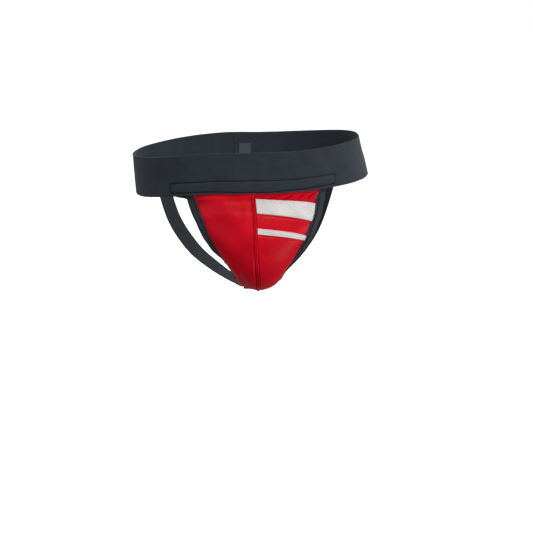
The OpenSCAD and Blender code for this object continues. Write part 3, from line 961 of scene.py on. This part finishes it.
def bindings():
    for side, word in SIDES:
        v, out = grid(steps(300), steps(40, -BINDING_LIP, BINDING_W))
        s = v * SEAM_LENGTH
        lift = binding_lift(out, s, v)
        back = BINDING_T + 0.6 * out / BINDING_W + 0.25 * ripple(s, out, 14, 52)
        close = 0.5 * (1 - np.clip(1 - (np.clip(out, 0, None) / BINDING_W) ** 7, 0.05, 1) ** 0.5)
        front_depth = mix(-lift, back, close)
        back_depth = np.maximum(mix(back, -lift, close), front_depth + 0.2)
        ends = smooth((v - BINDING_TAPER_V) / (1 - BINDING_TAPER_V))
        out = np.where(out > 0, out * mix(1, BINDING_TAPER, ends), out)
        piece = shell("folded_binding_" + word, beside_edge(side, v, out, front_depth),
                      beside_edge(side, v, out, back_depth))
        dress(piece, "binding_elastic", "binding_" + word)


def binding_stitches():
    v = steps(400, *BINDING_STITCHED_V)
    lines = []
    for side in (-1, 1):
        out = BINDING_STITCH_OUT + 0 * v
        lift = binding_lift(out, v * SEAM_LENGTH, v)
        lines.append((beside_edge(side, v, out, -lift), -leather_in(side, v)))
    piece = stitches("binding_stitches", lines, r=0.34)
    dress(piece, "thread_black", "binding_topstitch")


# ---- Leg straps and tabs ----

def strap_middle(side):
    low = [[side * x + drift, y, z] for (x, y, z), drift in zip(STRAP_ROUTE, STRAP_DRIFT)]
    high = [on_band(np.array(side * STRAP_ANGLE), t, STRAP_OFF).tolist() for t in STRAP_LAP]
    return low + high


def strap_faces(side):
    n = plan_out(np.array(side * STRAP_ANGLE))
    return [[side * x, y, z] for x, y, z in STRAP_FACES] + [[n[0], n[1], 0]] * len(STRAP_LAP)


def strap_at(side, k, across, depth):
    middle = strap_middle(side)
    along = heading(middle, k)
    edge = unit(np.cross(along, unit(through(strap_faces(side), k))))
    out = np.cross(edge, along)
    across = np.asarray(across * STRAP_W)[..., None]
    return through(middle, k) + edge * across + out * np.asarray(depth)[..., None]


def strap_normal(side, k):
    return strap_at(side, k, 0 * k, 1 + 0 * k) - strap_at(side, k, 0 * k, 0 * k)


def leg_straps():
    for side, word in SIDES:
        k, w = grid(steps(240), crowded(28))
        half = STRAP_T / 2 * rounded(w, 20) + 0.12 * bell(np.abs(w) - 0.9, 0.05)
        wave = 0.35 * ripple(k * 330, w * 12, 60, 61 + side) * smooth(k / 0.1) * smooth((0.9 - k) / 0.1)
        piece = shell("strap_webbing_" + word, strap_at(side, k, w / 2, half + wave),
                      strap_at(side, k, w / 2, wave - half))
        dress(piece, "strap_elastic", "leg_strap_" + word)


def zigzag(side, k_middle):
    """Bartack: a short dense zigzag across the strap's inner face."""
    w = np.repeat(steps(30, -0.42, 0.42), 2)[1:-1]
    k = k_middle + 0.0055 * np.where(np.arange(len(w)) % 4 < 2, -1, 1)
    inner = -STRAP_T / 2 + 0 * w
    return strap_at(side, k, w, inner), -strap_normal(side, k)


def bartacks():
    lines = []
    for side in (-1, 1):
        for k in BARTACK_K:
            line, out = zigzag(side, k)
            lines += [(line[i:i + 2], out[i:i + 2]) for i in range(0, len(line) - 1)]
    for low, face in ((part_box("crotch_tab_lower")[0].z, -1), (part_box("crotch_tab_upper")[1].z, 1)):
        lines += box_stitch(low / MM, face)
    piece = stitches("bartack_stitches", lines, pitch=2.6, length=2.4, r=0.32)
    dress(piece, "thread_black", "strap_bartacks")


def box_stitch(z, face):
    """Rectangle of stitches with its diagonals, on a tab's outer face."""
    low, high = [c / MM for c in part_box("crotch_tab_lower")]
    x0, x1, y0, y1 = low.x + 3, high.x - 3, low.y + 3, high.y - 3
    corners = [(x0, y0), (x1, y0), (x1, y1), (x0, y1), (x0, y0), (x1, y1), (x1, y0), (x0, y1)]
    lines = []
    for i in (0, 1, 2, 3, 4, 6):
        ends = np.array([corners[i], corners[i + 1]], float)
        line = mix(ends[0], ends[1], steps(20)[:, None])
        points = np.column_stack([line, np.full(len(line), z)])
        lines.append((points, np.tile([0.0, 0.0, face], (len(line), 1))))
    return lines


def crotch_tabs():
    for word in ("lower", "upper"):
        low, high = [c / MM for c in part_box("crotch_tab_" + word)]
        a, b = grid(crowded(40), crowded(28))
        x = mix(low.x, high.x, (a + 1) / 2)
        y = mix(low.y, high.y, (b + 1) / 2)
        half = (high.z - low.z) / 2 * rounded(a, 30) * rounded(b, 30)
        dip = 0.15 * (bell(1 - np.abs(a) - 0.16, 0.04) + bell(1 - np.abs(b) - 0.25, 0.06))
        middle = (low.z + high.z) / 2
        piece = shell("tab_webbing_" + word, vec(x, y, middle + half - dip),
                      vec(x, y, middle - half + dip))
        dress(piece, "strap_elastic", "crotch_tab_" + word)


# ---- Cup pieces ----

def cup_relief(p, q):
    """How far the moulding stands out: a ridge down the middle, a step inside the edge, and a
    dish round each vent."""
    r = np.hypot(p, q)
    ridge = 0.5 * bell(p, 0.06) * smooth((0.8 - r) / 0.2)
    step = 0.5 * smooth((0.86 - r) / 0.04)
    dish = sum(bell(np.hypot((p - a) * CUP_HALF_W, (q - b) * 60), 4.6) for a, b in VENTS)
    return ridge + step - 0.6 * dish - 0.4


def cup_shell():
    """Cup wall, whose square grid of points is rounded into a disc, with its vents cut out."""
    b, a = grid(steps(110, -1, 1), steps(110, -1, 1))
    p, q = a * np.sqrt(1 - b * b / 2), b * np.sqrt(1 - a * a / 2)
    half = CUP_T / 2 * np.clip(1 - np.hypot(p, q) ** 60, 0.1, 1) ** 0.5
    front = cup_at(p, q, CUP_T / 2 - half - np.minimum(cup_relief(p, q), 0.3))
    piece = shell("cup_moulding", front, cup_at(p, q, CUP_T / 2 + half))
    drill = vents_drill()
    cut = piece.modifiers.new("vents", "BOOLEAN")
    cut.operation = "DIFFERENCE"
    cut.solver = "EXACT"
    cut.object = drill
    bpy.context.view_layer.update()
    apply_modifiers(piece)
    piece.data.set_sharp_from_angle(angle=math.radians(40))
    bpy.data.objects.remove(drill)
    dress(piece, "cup_plastic", "cup_shell", body="cup")


def vents_drill():
    """Straight round pins, front to back, where the vents go. They are turned a little, so that
    no edge of theirs meets a corner of the cup's mesh."""
    turn = 2 * math.pi * (np.arange(40) + 0.37) / 40
    ring = VENT_R * vec(np.cos(turn), 0 * turn, np.sin(turn))
    pins = []
    for p, q in VENTS:
        centre = cup_at(np.array(p), np.array(q), CUP_T / 2)
        pins.append([centre + ring + np.array([0, y, 0]) for y in (-12, 12)])
    return tubes("vents_drill", np.array(pins))


def cup_gasket():
    """Soft edging: a round bead with a flat lip on each face of the cup."""
    turn = steps(240, 0, 2 * math.pi)[:-1]
    p, q = np.sin(turn), np.cos(turn)
    edge = cup_at(p, q, CUP_T / 2)
    outward = unit(edge - cup_at(0.95 * p, 0.95 * q, CUP_T / 2))
    inward = cup_in(p, q)
    centre = edge + outward * (GASKET_R + GASKET_GAP)
    round_turn = 2 * math.pi * np.arange(28) / 28
    c, s = np.cos(round_turn), np.sin(round_turn)
    reach = GASKET_R * np.where(c < 0, 1 + 0.42 * np.abs(c) * np.abs(s) * 2, 1)
    squeeze = 1 - 0.05 * bell(np.abs(s) - 0.8, 0.1)
    rings = (centre[:, None] + outward[:, None] * (reach * c * squeeze)[None, :, None]
             + inward[:, None] * (GASKET_R * s * squeeze)[None, :, None])
    piece = tubes("cup_soft_rim", rings[None], closed=True)
    dress(piece, "gasket_rubber", "cup_gasket", body="cup")


# ---- Scene, in metres ----

CAMERA_AZIMUTH = math.radians(-3.5)
CAMERA_ELEVATION = math.radians(9)
CAMERA_ROLL = math.radians(-0.6)
CAMERA_DISTANCE = 1.75
CAMERA_AIM_RIGHT = 0.029
CAMERA_AIM_UP = -0.165
CAMERA_LENS = 75.8
CAMERA_SENSOR = 36

# Square lights: name, place, size and power
LIGHTS = (("key", (0.7, -1.1, 1.7), 0.6, 20),
          ("front", (1.9, -1.1, -0.6), 0.8, 20),
          ("fill", (-1.7, -1.0, 0.9), 1.2, 6),
          ("back", (0.4, 1.6, 1.0), 1.2, 9))
LIT_POINT = Vector((0, 0, -0.08))

# Strength of the soft light all round, which grows from below to above
AMBIENT_BELOW = 0.24
AMBIENT_ABOVE = 0.6

FLOOR_Z = -0.47
FLOOR_HALF = 6


def camera():
    az, el = CAMERA_AZIMUTH, CAMERA_ELEVATION
    back = Vector((math.sin(az) * math.cos(el), -math.cos(az) * math.cos(el), math.sin(el)))
    right = Vector((0, 0, 1)).cross(back).normalized()
    up = back.cross(right)
    aim = right * CAMERA_AIM_RIGHT + up * CAMERA_AIM_UP
    at = back * CAMERA_DISTANCE
    forward = (aim - at).normalized()
    right = forward.cross(up).normalized()
    up = right.cross(forward)
    turned = right * math.cos(CAMERA_ROLL) - up * math.sin(CAMERA_ROLL)
    up = up * math.cos(CAMERA_ROLL) + right * math.sin(CAMERA_ROLL)
    data = bpy.data.cameras.new("camera")
    data.lens = CAMERA_LENS
    data.sensor_width = CAMERA_SENSOR
    made = add("camera", data)
    made.matrix_world = Matrix((turned, up, -forward)).transposed().to_4x4()
    made.matrix_world.translation = at
    bpy.context.scene.camera = made


def area_light(name, at, size, power):
    data = bpy.data.lights.new(name, "AREA")
    data.shape = "SQUARE"
    data.size = size
    data.energy = power
    made = add(name, data)
    made.location = at
    made.rotation_euler = (LIT_POINT - Vector(at)).to_track_quat("-Z", "Y").to_euler()


def surroundings():
    """White to the camera, and soft light on the object that is stronger from above."""
    world = bpy.data.worlds.new("studio")
    world.use_nodes = True
    tree = world.node_tree
    seen = tree.nodes.new("ShaderNodeLightPath").outputs["Is Camera Ray"]
    direction = tree.nodes.new("ShaderNodeTexCoord").outputs["Generated"]
    height = tree.nodes.new("ShaderNodeSeparateXYZ")
    tree.links.new(direction, height.inputs[0])
    soft = tree.nodes.new("ShaderNodeMapRange")
    soft.inputs["From Min"].default_value = -0.6
    soft.inputs["From Max"].default_value = 0.8
    soft.inputs["To Min"].default_value = AMBIENT_BELOW
    soft.inputs["To Max"].default_value = AMBIENT_ABOVE
    tree.links.new(height.outputs["Z"], soft.inputs["Value"])
    strength = tree.nodes.new("ShaderNodeMapRange")
    strength.inputs["To Max"].default_value = 1.0
    tree.links.new(seen, strength.inputs["Value"])
    tree.links.new(soft.outputs[0], strength.inputs["To Min"])
    background = tree.nodes["Background"]
    background.inputs["Color"].default_value = (1, 1, 1, 1)
    tree.links.new(strength.outputs[0], background.inputs["Strength"])
    bpy.context.scene.world = world


def floor():
    """Plain pale floor, which neither shades nor tints the object."""
    corners = [(x * FLOOR_HALF, y * FLOOR_HALF, FLOOR_Z)
               for x, y in ((-1, -1), (1, -1), (1, 1), (-1, 1))]
    data = bpy.data.meshes.new("floor")
    data.from_pydata(corners, [], [(0, 1, 2, 3)])
    paint = Look("pale_floor", 0.9, Base_Color=(0.9, 0.9, 0.9, 1), Emission_Color=(1, 1, 1, 1),
                 Emission_Strength=0.7)
    data.materials.append(paint.made)
    made = add("floor", data)
    made.visible_diffuse = False
    made.visible_glossy = False
    made.visible_shadow = False


bpy.context.scene.view_settings.view_transform = "Standard"
camera()
for light in LIGHTS:
    area_light(*light)
surroundings()
floor()

waistband()
back_join_patch()
care_label()
backing()
hem_stitches()
pouch_panels()
seam_tape()
seam_stitches()
trim_strip("broad_strip", BROAD_STRIP, "trim_strip_broad")
trim_strip("slim_strip", SLIM_STRIP, "trim_strip_slim")
strip_stitches()
linings()
pocket()
bindings()
binding_stitches()
leg_straps()
bartacks()
crotch_tabs()
cup_shell()
cup_gasket()
